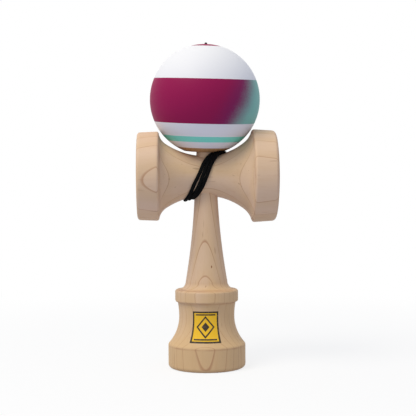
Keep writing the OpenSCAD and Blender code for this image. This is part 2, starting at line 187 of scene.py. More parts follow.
class Finishes(bpy.types.PropertyGroup):
    """Colours of the wood, the paint and the string."""

    pale_wood: colour("Pale wood", "Wood of the handle and the cross-piece", 229, 198, 168)
    warm_wood: colour("Warm wood", "Broad warmer bands in the wood", 220, 185, 138)
    late_wood: colour("Late wood", "Thin lines that end the year's growth", 176, 124, 92)
    fleck: colour("Fleck", "Short dark flecks in the wood", 158, 116, 86)
    bare_ball: colour("Bare ball wood", "Unpainted wood of the ball", 204, 174, 124)
    bead_wood: colour("Bead wood", "Wood of the stop bead", 198, 158, 112)
    ball_white: colour("White", "White paint of the ball", 240, 240, 242)
    ball_red: colour("Red", "Berry-red paint of the ball", 150, 22, 78)
    ball_plum: colour("Plum", "Where the red and the green sprays meet", 130, 36, 92)
    ball_green: colour("Green", "Sea-green paint of the ball", 137, 234, 213)
    string_black: colour("String", "Yarn of the string", 13, 13, 14)
    string_worn: colour("Worn yarn", "Raised and rubbed yarn of the string", 23, 23, 25)
    panel: colour("Panel", "Printed panel on the waist", 250, 198, 34)
    panel_line: colour("Panel line", "Lines printed on the panel", 40, 36, 28)


class KendamaSettings(bpy.types.PropertyGroup):
    """All sizes and colours of the toy."""

    handle: PointerProperty(type=HandleSizes)
    cross: PointerProperty(type=CrossPieceSizes)
    ball: PointerProperty(type=BallSizes)
    string: PointerProperty(type=StringSizes)
    finish: PointerProperty(type=Finishes)


TURN_SIDES = 160
PROFILE_STEP = 0.0008
ARC_STEPS = 16
SAME_POINT = 1e-7
SHARP_FROM = 32.0


def arc(centre, radius, start, end, steps=ARC_STEPS):
    """Points of a profile on a circle: centre + radius (cos a, sin a), for a from start to end in degrees."""
    a = np.radians(np.linspace(start, end, steps + 1))
    return np.column_stack((centre[0] + radius * np.cos(a), centre[1] + radius * np.sin(a)))


def along(points):
    """Distance along a line of points, from its first point to each one."""
    return np.concatenate(([0.0], np.cumsum(np.linalg.norm(np.diff(points, axis=0), axis=1))))


def spaced(profile, step=PROFILE_STEP):
    """The same profile without repeated points, and with more points where two are over a step apart."""
    far = along(profile)
    profile = profile[np.concatenate(([True], np.diff(far) > SAME_POINT))]
    far = along(profile)
    parts = np.maximum(1, np.ceil(np.diff(far) / step)).astype(int)
    start = np.repeat(far[:-1], parts)
    share = np.concatenate([np.arange(count) / count for count in parts])
    place = np.append(start + share * np.repeat(np.diff(far), parts), far[-1])
    return np.column_stack([np.interp(place, far, column) for column in profile.T])


def skin(rows, first=None, last=None, loop=False):
    """Points and faces of a grid of rows, each row a closed ring. Poles close the first and last row, or loop
    joins the last row to the first. Faces look outwards where rows run up and rings run anticlockwise."""
    count, sides = rows.shape[:2]
    points = rows.reshape(-1, 3)
    index = np.arange(count * sides).reshape(count, sides)
    beside = np.roll(index, -1, axis=1)
    above = np.roll(index, -1, axis=0)
    beside_above = np.roll(beside, -1, axis=0)
    quads = np.stack((index, beside, beside_above, above), axis=-1)
    quads = quads if loop else quads[:-1]
    faces = quads.reshape(-1, 4).tolist()
    if first is not None:
        pole = np.full(sides, len(points))
        faces += np.column_stack((pole, beside[0], index[0])).tolist()
        points = np.vstack((points, first))
    if last is not None:
        pole = np.full(sides, len(points))
        faces += np.column_stack((index[-1], beside[-1], pole)).tolist()
        points = np.vstack((points, last))
    return points, faces


def turned(profile, loop=False, sides=TURN_SIDES):
    """A surface of revolution about +Z: (r cos t, r sin t, h) for each (r, h) of the profile. An open profile
    starts and ends on the axis, and loop says that it is a closed ring that stays off the axis."""
    turn = np.linspace(0, 2 * np.pi, sides, endpoint=False)
    body = profile if loop else profile[1:-1]
    rows = np.stack((
        np.outer(body[:, 0], np.cos(turn)),
        np.outer(body[:, 0], np.sin(turn)),
        np.outer(body[:, 1], np.ones(sides))), axis=-1)
    if loop:
        return skin(rows, loop=True)
    return skin(rows, (0, 0, profile[0, 1]), (0, 0, profile[-1, 1]))


def unit(vectors):
    """The same directions with length 1."""
    return vectors / np.linalg.norm(vectors, axis=-1, keepdims=True)


# How much wider a string grows as it is pressed flat, and the widest that it gets.
SPREAD = 3.0
MOST_WIDE = 1.42


def tube(path, outward, radius, closed=False, kept=1.0):
    """A profile carried along a path. The ring at each point is r (k cos f n + w sin f b), where n is outward
    made square to the path, b completes the frame, k is the share of thickness kept, w grows as k falls, and
    radius is a grid of r with a row for each point."""
    ahead = np.roll(path, -1, axis=0) - np.roll(path, 1, axis=0)
    if not closed:
        ahead[0] = path[1] - path[0]
        ahead[-1] = path[-1] - path[-2]
    ahead = unit(ahead)
    across = unit(outward - (outward * ahead).sum(1, keepdims=True) * ahead)
    level = np.cross(ahead, across)
    turn = np.linspace(0, 2 * np.pi, radius.shape[1], endpoint=False)[None, :, None]
    flat = np.broadcast_to(kept, len(path))[:, None, None]
    wide = np.minimum(1 + SPREAD * (1 - flat), MOST_WIDE)
    rows = path[:, None] + radius[..., None] * (
        flat * np.cos(turn) * across[:, None] + wide * np.sin(turn) * level[:, None])
    if closed:
        return skin(rows, loop=True)
    return skin(rows, path[0], path[-1])


BALL_TURN = np.array((
    (math.cos(BALL_HEADING), math.sin(BALL_HEADING), 0),
    (-math.sin(BALL_HEADING) * math.cos(BALL_LEAN), math.cos(BALL_HEADING) * math.cos(BALL_LEAN),
     math.sin(BALL_LEAN)),
    BALL_AXIS))


def on_ball(points):
    """Places points of the ball's own frame: its centre, and +Z from the hole up to the string."""
    return BALL_CENTRE + points @ BALL_TURN


def on_ball_axis(height):
    """Points on the ball's axis, at heights above its centre."""
    return BALL_CENTRE + np.multiply.outer(height, BALL_AXIS)


def along_x(points):
    """Turns a piece made along +Z to lie along +X through the middle of the cross-piece."""
    return points[:, [2, 0, 1]] + (0, 0, CROSS_Z)


def along_y(points):
    """Turns a piece made along +Z to lie along +Y through the middle of the cross-piece."""
    return points[:, [1, 2, 0]] + (0, 0, CROSS_Z)


def new_object(name, points, faces):
    """An object at the origin with its place in its mesh."""
    mesh = bpy.data.meshes.new(name)
    mesh.from_pydata(points.tolist(), [], faces)
    mesh.validate()
    piece = bpy.data.objects.new(name, mesh)
    bpy.context.scene.collection.objects.link(piece)
    return piece


def carve(piece, cutters):
    """Takes each cutter out of the piece for good, and removes the cutters."""
    for cutter in cutters:
        cut = piece.modifiers.new(cutter.name, "BOOLEAN")
        cut.operation = "DIFFERENCE"
        cut.solver = "EXACT"
        cut.object = cutter
    bpy.context.view_layer.update()
    shown = piece.evaluated_get(bpy.context.evaluated_depsgraph_get())
    carved = bpy.data.meshes.new_from_object(shown)
    piece.modifiers.clear()
    plain = piece.data
    piece.data = carved
    bpy.data.meshes.remove(plain)
    carved.name = piece.name
    for cutter in cutters:
        shape = cutter.data
        bpy.data.objects.remove(cutter)
        bpy.data.meshes.remove(shape)


def dress(piece, material, nodes, edge=SHARP_FROM):
    """Gives a piece its finish and smooth faces with sharp edges past an angle, and hides the nodes of the
    model that it stands for.
    """
    piece.data.materials.clear()
    piece.data.materials.append(material)
    piece.data.shade_smooth()
    piece.data.set_sharp_from_angle(angle=math.radians(edge))
    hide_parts(*nodes)


class Value:
    """An output of a node, which takes part in sums as a number does."""

    def __init__(self, paint, socket):
        self.paint = paint
        self.socket = socket

    def __add__(self, other):
        return self.paint.calc("ADD", self, other)

    def __sub__(self, other):
        return self.paint.calc("SUBTRACT", self, other)

    def __mul__(self, other):
        return self.paint.calc("MULTIPLY", self, other)

    def __truediv__(self, other):
        return self.paint.calc("DIVIDE", self, other)

    def __abs__(self):
        return self.paint.calc("ABSOLUTE", self)


# Where a colour mix has its share, its two colours and the mixed colour among its sockets.
MIX_SOCKETS = (0, 6, 7)
MIX_COLOUR = 2


class Finish:
    """The nodes of one material, with calls that add a node and give back its output."""

    def __init__(self, name):
        self.material = bpy.data.materials.new(name)
        self.material.use_nodes = True
        self.tree = self.material.node_tree
        self.shader = self.tree.nodes["Principled BSDF"]
        self.place = Value(self, self.add("ShaderNodeTexCoord").outputs["Object"])

    def add(self, kind, values=(), **settings):
        """A new node with its settings, and with values for its first sockets."""
        node = self.tree.nodes.new(kind)
        for key, value in settings.items():
            setattr(node, key, value)
        for socket, value in zip(node.inputs, values):
            self.feed(socket, value)
        return node

    def feed(self, socket, value):
        """Links a socket to an output, or gives it a number or a colour."""
        if isinstance(value, Value):
            self.tree.links.new(value.socket, socket)
        elif socket.type == "RGBA":
            socket.default_value = (*value[:3], 1.0)
        else:
            socket.default_value = value

    def calc(self, operation, *values):
        """One step of arithmetic."""
        return Value(self, self.add("ShaderNodeMath", values, operation=operation).outputs[0])

    def most(self, first, *others):
        """The largest of several values."""
        for other in others:
            first = self.calc("MAXIMUM", first, other)
        return first

    def rise(self, value, low, high, start=0.0, end=1.0):
        """Runs smoothly from start to end as the value goes from low to high."""
        given = (value, low, high, start, end)
        return Value(self, self.add("ShaderNodeMapRange", given, interpolation_type="SMOOTHSTEP").outputs[0])

    def inside(self, value, limit, soft):
        """1 where the value is below the limit and 0 above it, with a soft edge."""
        return self.rise(value, limit + soft, limit - soft)

    def split(self, vector):
        """The three parts of a vector."""
        return [Value(self, part) for part in self.add("ShaderNodeSeparateXYZ", (vector,)).outputs]

    def moved(self, vector, scale=(1, 1, 1), place=(0, 0, 0), turn=(0, 0, 0), kind="POINT"):
        """A vector through a Mapping node."""
        given = (vector, place, turn, scale)
        return Value(self, self.add("ShaderNodeMapping", given, vector_type=kind).outputs[0])

    def noise(self, vector, scale, detail=2.0, rough=0.5):
        """Smooth noise from 0 to 1."""
        node = self.add("ShaderNodeTexNoise", (vector,))
        node.inputs["Scale"].default_value = scale
        node.inputs["Detail"].default_value = detail
        node.inputs["Roughness"].default_value = rough
        return Value(self, node.outputs["Fac"])

    def mix(self, share, first, second, blend="MIX"):
        """Two colours mixed by a share from 0 to 1."""
        node = self.add("ShaderNodeMix", data_type="RGBA", blend_type=blend)
        for index, value in zip(MIX_SOCKETS, (share, first, second)):
            self.feed(node.inputs[index], value)
        return Value(self, node.outputs[MIX_COLOUR])

    def done(self, shown, rough, height, proud, specular):
        """Joins colour, roughness and relief to the shader, and gives back the material. Proud is how many
        metres a height of 1 stands out."""
        relief = self.add("ShaderNodeBump")
        self.feed(relief.inputs["Height"], height)
        relief.inputs["Distance"].default_value = proud
        relief.inputs["Strength"].default_value = 1.0
        sockets = self.shader.inputs
        self.feed(sockets["Base Color"], shown)
        self.feed(sockets["Roughness"], rough)
        self.tree.links.new(relief.outputs[0], sockets["Normal"])
        sockets["Specular IOR Level"].default_value = specular
        return self.material


# Scales of the wood's noises, in waves per metre.
PATCH_SCALE = 36.0
BAND_SCALE = 60.0
STREAK_SCALE = 420.0
FLECK_SCALE = 700.0
FIBRE_SCALE = 1500.0
FLECK_SHIFT = (3.7, 1.1, 5.3)
FLECK_SPAN = (0.715, 0.8)
FLECK_MOST = 0.45
STREAK_MOST = 0.12
FIBRE_MOST = 0.08
WOOD_ROUGH = (0.5, 0.62)
WOOD_SPECULAR = 0.22
WOOD_RELIEF = 0.00006
WORN_HALF = 0.0007
# Where the edges are worn: the scale of the patches, and their least and greatest darkness.
HANDLE_WORN = (130.0, 0.1, 0.5)
CROSS_WORN = (120.0, 0.08, 0.45)
# How far the noise is drawn out: small numbers are along the fibres.
HANDLE_FIBRES = (1, 1, 0.06)
CROSS_FIBRES = (0.06, 1, 1)
BEAD_FIBRES = (1, 1, 0.15)
BALL_FIBRES = (1, 1, 0.08)
HANDLE_WAVES = (1, 1, 0.35)
CROSS_WAVES = (0.4, 1, 1)


def grown_wood(paint, layer, stretch, colours, lines=0.5, width=0.14, warmth=0.0):
    """Colour, roughness and height of wood. The layer counts years of growth across it, and each whole number
    is a thin dark line that starts softly and ends sharply. Lines is its strength and width its share of a
    year. Stretch is small along the fibres, so that the noise is long there, and warmth adds to the broad
    warm bands."""
    grained = paint.moved(paint.place, scale=stretch)
    part = paint.calc("FRACT", layer)
    sharp = 1 - 0.25 * width
    line = paint.rise(part, 1 - width, sharp) * paint.rise(part, sharp, 1.0, 1.0, 0.0)
    line = line * paint.rise(paint.noise(paint.place, PATCH_SCALE), 0.25, 0.6, 0.5 * lines, lines)
    broad = paint.noise(grained, BAND_SCALE, detail=3.0) + warmth
    shown = paint.mix(paint.rise(broad, 0.3, 0.95), colours.pale_wood, colours.warm_wood)
    shown = paint.mix(paint.rise(part, 0.35, 0.97) * (0.5 * lines), shown, colours.warm_wood)
    fibre = paint.noise(grained, FIBRE_SCALE, detail=4.0, rough=0.6)
    streak = paint.noise(grained, STREAK_SCALE, detail=3.0, rough=0.6)
    shown = paint.mix(paint.rise(streak, 0.5, 0.8, end=STREAK_MOST), shown, colours.warm_wood, "MULTIPLY")
    shown = paint.mix(paint.rise(fibre, 0.45, 0.75, end=FIBRE_MOST), shown, colours.warm_wood, "MULTIPLY")
    fleck = paint.noise(paint.moved(grained, place=FLECK_SHIFT), FLECK_SCALE, detail=1.0)
    fleck = paint.rise(fleck, *FLECK_SPAN, end=FLECK_MOST)
    shown = paint.mix(fleck, shown, colours.fleck)
    shown = paint.mix(line, shown, colours.late_wood)
    return shown, paint.rise(fibre, 0.2, 0.8, *WOOD_ROUGH), fibre * 0.6 + streak * 0.4 - fleck * 0.8


def worn_edges(paint, along_piece, edges, scale, least, greatest):
    """Narrow bands at the edges of a turned piece, where hands darken the wood in patches."""
    bands = [paint.rise(abs(along_piece - edge), WORN_HALF, 0.1 * WORN_HALF) for edge in edges]
    handled = paint.noise(paint.place, scale, detail=3.0)
    return paint.most(*bands) * paint.rise(handled, 0.35, 0.7, least, greatest)


# The years of the handle. A span is the height at which a change starts and the height at which it is whole.
YEAR_WAVE = 0.0016
HANDLE_WAVE_SCALE = 42.0
HANDLE_FRONT = 0.0089
HANDLE_YEAR = 0.00315
HANDLE_YEAR_FALL = 0.013
HANDLE_YEAR_LEAST = 0.00263
HANDLE_TILT = 0.11
HANDLE_LINES = 0.66
HANDLE_LINE_WIDTH = 0.1
RIDGE_SPAN = (0.0475, 0.042)
RIDGE_FORWARD = 0.00045
BASE_SPAN = (0.03, 0.008)
BASE_FORWARD = 0.00011
WARM_SPANS = ((0.05, 0.036), (0.02, 0.01))
WARMER = 0.3
HANDLE_EDGES = (0.0358, 0.0425, 0.0122, 0.0004)
# Across and up: the pore's middle, and half its width and height.
PORE_AT = (0.0024, 0.0552)
PORE_HALF = (0.00036, 0.0009)
FRONT_ONLY = (0.0, -0.001)


def handle_finish(colours):
    """Maple with its fibres along the handle. The years lie square to the front: their count is
    (depth + wave - front - forward - tilt x) / year. The year is shorter higher up, so they draw arches on
    the stem, and they lie further forward in the ridge and the base, so they draw loops there. The wood is
    warmer towards the base, and has one dark pore on the stem."""
    paint = Finish("handle_maple")
    x, y, z = paint.split(paint.place)
    wave = paint.noise(paint.moved(paint.place, scale=HANDLE_WAVES), HANDLE_WAVE_SCALE, detail=1.0)
    forward = paint.rise(z, *RIDGE_SPAN, end=RIDGE_FORWARD) + paint.rise(z, *BASE_SPAN, end=BASE_FORWARD)
    year = paint.most(z * -HANDLE_YEAR_FALL + HANDLE_YEAR, HANDLE_YEAR_LEAST)
    layer = (wave * YEAR_WAVE - HANDLE_FRONT - y - forward - x * HANDLE_TILT) / year
    warmth = paint.rise(z, *WARM_SPANS[0], end=WARMER) + paint.rise(z, *WARM_SPANS[1], end=WARMER)
    shown, rough, height = grown_wood(
        paint, layer, HANDLE_FIBRES, colours, HANDLE_LINES, HANDLE_LINE_WIDTH, warmth)
    shown = paint.mix(worn_edges(paint, z, HANDLE_EDGES, *HANDLE_WORN), shown, colours.late_wood)
    beside = (x - PORE_AT[0]) / PORE_HALF[0]
    above = (z - PORE_AT[1]) / PORE_HALF[1]
    pore = paint.rise(beside * beside + above * above, 1.0, 0.2) * paint.rise(y, *FRONT_ONLY)
    shown = paint.mix(pore, shown, colours.fleck, "MULTIPLY")
    cover, ink = waist_panel(paint, x, y, z, colours)
    return paint.done(paint.mix(cover, shown, ink), rough, height, WOOD_RELIEF, WOOD_SPECULAR)


# The printed panel: a half is half of its width, and half of its height.
PANEL_Z = 0.0237
PANEL_LEFT = 0.0012
PANEL_ROUND = 0.0151
PANEL_HALF = (0.007, 0.0082)
PANEL_BORDER = 0.0009
PANEL_SOFT = 0.00008
LOZENGE_SLOPE = 0.82
LOZENGE_HALF = 0.00205
RING_AT = 0.0043
RING_HALF = 0.0005
BAR_AT = 0.0064
BAR_HALF = (0.00535, 0.00038)
BAR_SOFT = 0.00004
LINE_SOFT = 0.00005
PRINT_SCALE = 900.0
PRINT_COVER = (0.78, 0.96)


def waist_panel(paint, x, y, z, colours):
    """Cover and colour of a plain panel printed round the front of the waist: a border, a lozenge in a ring
    of its own shape, and a bar above and below it."""
    across = abs(paint.calc("ARCTAN2", x, y * -1.0) * PANEL_ROUND + PANEL_LEFT)
    up = abs(z - PANEL_Z)
    edge = paint.most(across - PANEL_HALF[0], up - PANEL_HALF[1])
    border = paint.rise(edge, -PANEL_BORDER - PANEL_SOFT, -PANEL_BORDER + PANEL_SOFT)
    lozenge = across + up * LOZENGE_SLOPE
    ring = paint.inside(abs(lozenge - RING_AT), RING_HALF, LINE_SOFT)
    middle = paint.inside(lozenge, LOZENGE_HALF, LINE_SOFT)
    bars = paint.inside(abs(up - BAR_AT), BAR_HALF[1], BAR_SOFT)
    bars = bars * paint.inside(across, BAR_HALF[0], LINE_SOFT)
    thin = paint.noise(paint.place, PRINT_SCALE, detail=3.0, rough=0.6)
    cover = paint.inside(edge, 0.0, PANEL_SOFT) * paint.rise(thin, 0.28, 0.5, *PRINT_COVER)
    return cover, paint.mix(paint.most(border, ring, middle, bars), colours.panel, colours.panel_line)


CROSS_WAVE_SCALE = 38.0
CROSS_FRONT = 0.02327
CROSS_YEAR = 0.0065
CROSS_BOW = 1.52
CROSS_TILT = 0.1
CROSS_LINES = 0.6
CROSS_LINE_WIDTH = 0.055
CROSS_EDGES = (0.025, 0.0374)


def cross_piece_finish(colours):
    """Maple with its fibres along the cross-piece. The years bow back towards the small cup, so that they
    draw a loop on its side: their count is (depth + wave - front - bow x x - tilt up) / year, with the bow
    only to the left of the middle."""
    paint = Finish("cross_piece_maple")
    x, y, z = paint.split(paint.place)
    left = paint.calc("MINIMUM", x, 0.0)
    wave = paint.noise(paint.moved(paint.place, scale=CROSS_WAVES), CROSS_WAVE_SCALE, detail=1.0)
    depth = wave * YEAR_WAVE - CROSS_FRONT - y - left * left * CROSS_BOW
    layer = (depth - (z - CROSS_Z) * CROSS_TILT) / CROSS_YEAR
    shown, rough, height = grown_wood(paint, layer, CROSS_FIBRES, colours, CROSS_LINES, CROSS_LINE_WIDTH)
    worn = worn_edges(paint, abs(x), CROSS_EDGES, *CROSS_WORN)
    return paint.done(paint.mix(worn, shown, colours.late_wood), rough, height, WOOD_RELIEF, WOOD_SPECULAR)


BEAD_YEAR = 0.0013
BEAD_TINT = 0.75
BEAD_RELIEF = 0.00004


def ball_place(paint):
    """Coordinates in the ball's own frame."""
    return paint.moved(paint.place, place=BALL_CENTRE, turn=(BALL_LEAN, 0, BALL_HEADING), kind="TEXTURE")


def bead_finish(colours):
    """Plain turned wood with its fibres along the bead."""
    paint = Finish("bead_wood")
    layer = paint.split(ball_place(paint))[0] / BEAD_YEAR
    shown, rough, height = grown_wood(paint, layer, BEAD_FIBRES, colours)
    tinted = paint.mix(BEAD_TINT, shown, colours.bead_wood, "MULTIPLY")
    return paint.done(tinted, rough, height, BEAD_RELIEF, WOOD_SPECULAR)


# Heights along the ball's axis at which the paint changes, from the foot up.
STRIPE_LEVELS = (-0.0222, -0.01915, -0.01225, 0.01115, 0.02876)
BAND_LOW = STRIPE_LEVELS[2]
BAND_HIGH = STRIPE_LEVELS[3]
BARE_BELOW = -0.02565
STRIPE_SOFT = 0.00006
STRIPE_RAGGED = 0.00012
STRIPE_LIP = 0.0001
TAPE_SCALE = 900.0
COAT_SCALE = 650.0
# The fade of the wide band, in radians round the axis from the front to the right, and on to the back.
ROUND_FROM = -2.2
FADE_SLANT = 17.6
FADE_AT = 0.568
PLUM_SPAN = (-0.6, -0.1)
GREEN_SPAN = (-0.27, 0.36)
GREEN_MOST = 0.64
PLUM_END = (4.05, 3.6)
GREEN_END = (3.75, 3.35)
MIST = 0.24
MIST_SCALE = 1400.0
CLOUD = 0.12
CLOUD_SCALE = 90.0
BALL_YEAR = 0.0024
BALL_TINT = 0.8
HOLE_PAST = 0.000325
HOLE_SOFT = 0.000025
HOLE_END_PAST = 0.00065
HOLE_END_SOFT = 0.00005
PAINT_ROUGH = 0.52
BARE_ROUGH = 0.6
PAINT_RELIEF = 0.00005
PAINT_SPECULAR = 0.12


def ball_finish(colours, sizes):
    """Sprayed stripes across the ball's own axis, edged by masking tape, and bare wood in its holes and round
    the mouth. The wide band fades from red to green at the right, by the angle round the axis, further round
    at the top of the band than at its foot, and back to red behind the left."""
    paint = Finish("ball_paint")
    x, y, z = paint.split(ball_place(paint))
    level = (paint.noise(paint.place, TAPE_SCALE) - 0.5) * STRIPE_RAGGED + z
    bearing = paint.calc("WRAP", paint.calc("ARCTAN2", x, y * -1.0), ROUND_FROM + math.tau, ROUND_FROM)
    mist = paint.noise(paint.place, MIST_SCALE, detail=3.0, rough=0.7)
    cloud = paint.noise(paint.place, CLOUD_SCALE)
    grain = (mist - 0.5) * MIST + (cloud - 0.5) * CLOUD
    at_right = bearing - (z * FADE_SLANT + FADE_AT) + grain
    behind = bearing + grain
    to_plum = paint.rise(at_right, *PLUM_SPAN) * paint.rise(behind, *PLUM_END)
    to_green = paint.rise(at_right, *GREEN_SPAN, end=GREEN_MOST) * paint.rise(behind, *GREEN_END)
    band = paint.mix(to_plum, colours.ball_red, colours.ball_plum)
    band = paint.mix(to_green, band, colours.ball_green)
    coat = colours.ball_white
    sprays = (colours.ball_green, colours.ball_white, band, colours.ball_white, colours.ball_red)
    for edge, spray in zip(STRIPE_LEVELS, sprays):
        coat = paint.mix(paint.rise(level, edge - STRIPE_SOFT, edge + STRIPE_SOFT), coat, spray)
    off_axis = paint.calc("SQRT", x * x + y * y)
    in_hole = paint.inside(off_axis, sizes.hole_r + HOLE_PAST, HOLE_SOFT)
    in_hole = in_hole * paint.inside(z, sizes.hole_end + HOLE_END_PAST, HOLE_END_SOFT)
    in_string_hole = paint.inside(off_axis, sizes.string_hole + STRIPE_SOFT, STRIPE_SOFT)
    bare = paint.most(in_hole, in_string_hole, paint.inside(level, BARE_BELOW, STRIPE_SOFT))
    wood = grown_wood(paint, x / BALL_YEAR, BALL_FIBRES, colours)[0]
    tinted = paint.mix(BALL_TINT, wood, colours.bare_ball, "MULTIPLY")
    lip = paint.rise(level, BAND_LOW - STRIPE_SOFT, BAND_LOW + STRIPE_SOFT)
    lip = lip * paint.rise(level, BAND_HIGH, BAND_HIGH - STRIPE_LIP)
    height = lip * 0.5 + paint.noise(paint.place, COAT_SCALE) * 0.5
    rough = paint.rise(bare, 0.0, 1.0, PAINT_ROUGH, BARE_ROUGH)
    return paint.done(paint.mix(bare, coat, tinted), rough, height, PAINT_RELIEF, PAINT_SPECULAR)


YARN_SCALE = 5200.0
RUBBED_SCALE = 260.0
YARN_ROUGH = (0.68, 0.9)
YARN_RELIEF = 0.00006
YARN_SPECULAR = 0.05


def string_finish(colours):
    """Black yarn with fine fibres, rubbed paler in patches."""
    paint = Finish("string_yarn")
    fine = paint.noise(paint.place, YARN_SCALE, detail=3.0, rough=0.7)
    rubbed = paint.rise(paint.noise(paint.place, RUBBED_SCALE), 0.3, 0.8, 0.3, 1.0)
    shown = paint.mix(paint.rise(fine, 0.45, 0.8) * rubbed, colours.string_black, colours.string_worn)
    return paint.done(shown, paint.rise(fine, 0.2, 0.8, *YARN_ROUGH), fine, YARN_RELIEF, YARN_SPECULAR)


IMAGE_SIDE = 416
FOCAL_PIXELS = 917.0
SENSOR_MM = 36.0
EYE = (-0.0166, -0.5, 0.091)
EYE_HEADING = math.radians(2.02)
EYE_DIP = math.radians(0.5)
EYE_ROLL = math.radians(0.35)
EYE_CLIP = (0.01, 60.0)


def make_camera():
    """A camera at the photograph's place, turned by heading, dip and roll."""
    lens = bpy.data.cameras.new("camera")
    lens.sensor_width = SENSOR_MM
    lens.lens = FOCAL_PIXELS / IMAGE_SIDE * SENSOR_MM
    lens.clip_start, lens.clip_end = EYE_CLIP
    camera = bpy.data.objects.new("camera", lens)
    bpy.context.scene.collection.objects.link(camera)
    level = math.cos(EYE_DIP)
    ahead = Vector((math.sin(EYE_HEADING) * level, math.cos(EYE_HEADING) * level, -math.sin(EYE_DIP)))
    right = Vector((math.cos(EYE_HEADING), -math.sin(EYE_HEADING), 0))
    up = right.cross(ahead)
    turned_right = math.cos(EYE_ROLL) * right - math.sin(EYE_ROLL) * up
    turned_up = math.sin(EYE_ROLL) * right + math.cos(EYE_ROLL) * up
    view = Matrix((turned_right, turned_up, -ahead)).transposed().to_4x4()
    view.translation = EYE
    camera.matrix_world = view
    bpy.context.scene.camera = camera


KEY_PLACE = (-0.48, -0.42, 1.02)
KEY_AIM = (0, 0, 0.09)
KEY_WIDTH = 0.5
KEY_WATTS = 7.3
KEY_TINT = (1.0, 0.95, 0.82)


def make_lamp():
    """A square soft lamp, high at the front left, that looks at the middle of the toy."""
    lamp = bpy.data.lights.new("key_lamp", "AREA")
    lamp.size = KEY_WIDTH
    lamp.energy = KEY_WATTS
    lamp.color = KEY_TINT
    holder = bpy.data.objects.new("key_lamp", lamp)
    bpy.context.scene.collection.objects.link(holder)
    holder.location = KEY_PLACE
    holder.rotation_mode = "QUATERNION"
    holder.rotation_quaternion = (Vector(KEY_AIM) - Vector(KEY_PLACE)).to_track_quat("-Z", "Y")


def seen_direct(tree):
    """1 where the eye sees a surface straight, in a mirror or through glass."""
    path = tree.nodes.new("ShaderNodeLightPath")
    seen = path.outputs["Is Camera Ray"]
    for kind in ("Is Glossy Ray", "Is Transmission Ray"):
        either = tree.nodes.new("ShaderNodeMath")
        either.operation = "MAXIMUM"
        tree.links.new(seen, either.inputs[0])
        tree.links.new(path.outputs[kind], either.inputs[1])
        seen = either.outputs[0]
    return seen


def end_in(tree, output, share, first, second):
    """Ends a tree in its first shader where the share is 0, and in its second where the share is 1."""
    choose = tree.nodes.new("ShaderNodeMixShader")
    for socket, given in zip(choose.inputs, (share, first.outputs[0], second.outputs[0])):
        tree.links.new(given, socket)
    tree.links.new(choose.outputs[0], tree.nodes[output].inputs["Surface"])


WHITE = (1.0, 1.0, 1.0, 1.0)
AMBIENT = 0.53
AMBIENT_TINT = (0.93, 0.98, 1.12, 1.0)


def make_world():
    """Even studio light, with a white background for the eye."""
    world = bpy.data.worlds.new("studio")
    world.use_nodes = True
    tree = world.node_tree
    light = tree.nodes["Background"]
    light.inputs["Color"].default_value = AMBIENT_TINT
    light.inputs["Strength"].default_value = AMBIENT
    white = tree.nodes.new("ShaderNodeBackground")
    white.inputs["Color"].default_value = WHITE
    white.inputs["Strength"].default_value = 1.0
    end_in(tree, "World Output", seen_direct(tree), light, white)
    bpy.context.scene.world = world


FLOOR_HALF = 6.0
FLOOR_NEAR = 0.10
FLOOR_FAR = 0.42
FLOOR_WHITE = 0.8
FLOOR_ROUGH = 0.9
FLOOR_SEEN = (0.95, 0.95, 0.95)
FLOOR_BOUNCE = (0.56, 0.58, 0.7)


def make_floor():
    """A pale floor that keeps the shadow near the toy, and runs out into the white background farther off."""
    corners = FLOOR_HALF * np.array(((-1, -1, 0), (1, -1, 0), (1, 1, 0), (-1, 1, 0)), float)
    floor = new_object("floor", corners, [[0, 1, 2, 3]])
    paint = Finish("floor_white")
    x, y = paint.split(paint.place)[:2]
    out = paint.calc("SQRT", x * x + y * y)
    direct = Value(paint, seen_direct(paint.tree))
    share = paint.rise(out, FLOOR_NEAR, FLOOR_FAR, FLOOR_WHITE, 1.0) * direct
    paint.feed(paint.shader.inputs["Base Color"], paint.mix(direct, FLOOR_BOUNCE, FLOOR_SEEN))
    paint.shader.inputs["Roughness"].default_value = FLOOR_ROUGH
    paint.shader.inputs["Specular IOR Level"].default_value = 0.0
    glow = paint.add("ShaderNodeEmission")
    glow.inputs["Color"].default_value = WHITE
    glow.inputs["Strength"].default_value = 1.0
    end_in(paint.tree, "Material Output", share.socket, paint.shader, glow)
    floor.data.materials.append(paint.material)


class KENDAMA_OT_stage(bpy.types.Operator):
    """Sets up the camera, the lamp, the background and the floor"""

    bl_idname = "kendama.stage"
    bl_label = "Stage"

    def execute(self, context):
        context.scene.view_settings.view_transform = "Standard"
        make_camera()
        make_world()
        make_lamp()
        make_floor()
        return {"FINISHED"}


def neck_radius(cross, x):
    """Radius of the neck at a distance x from its middle. It is an arc of radius c towards each cup:
    neck + c - sqrt(c^2 - x^2)."""
    curve = np.where(x > 0, cross.big_curve, cross.small_curve)
    return cross.neck_r + curve - np.sqrt(curve ** 2 - x ** 2)


# Angles round the neck are degrees, 0 at the front and 90 on top.
PRESS_GAP = 0.00008
WOUND_FLAT = 0.86
SLACK_AT = -27.0
SLACK_HALF = 26.0
TENT_AT = 66.0
TENT_HALF = 24.0


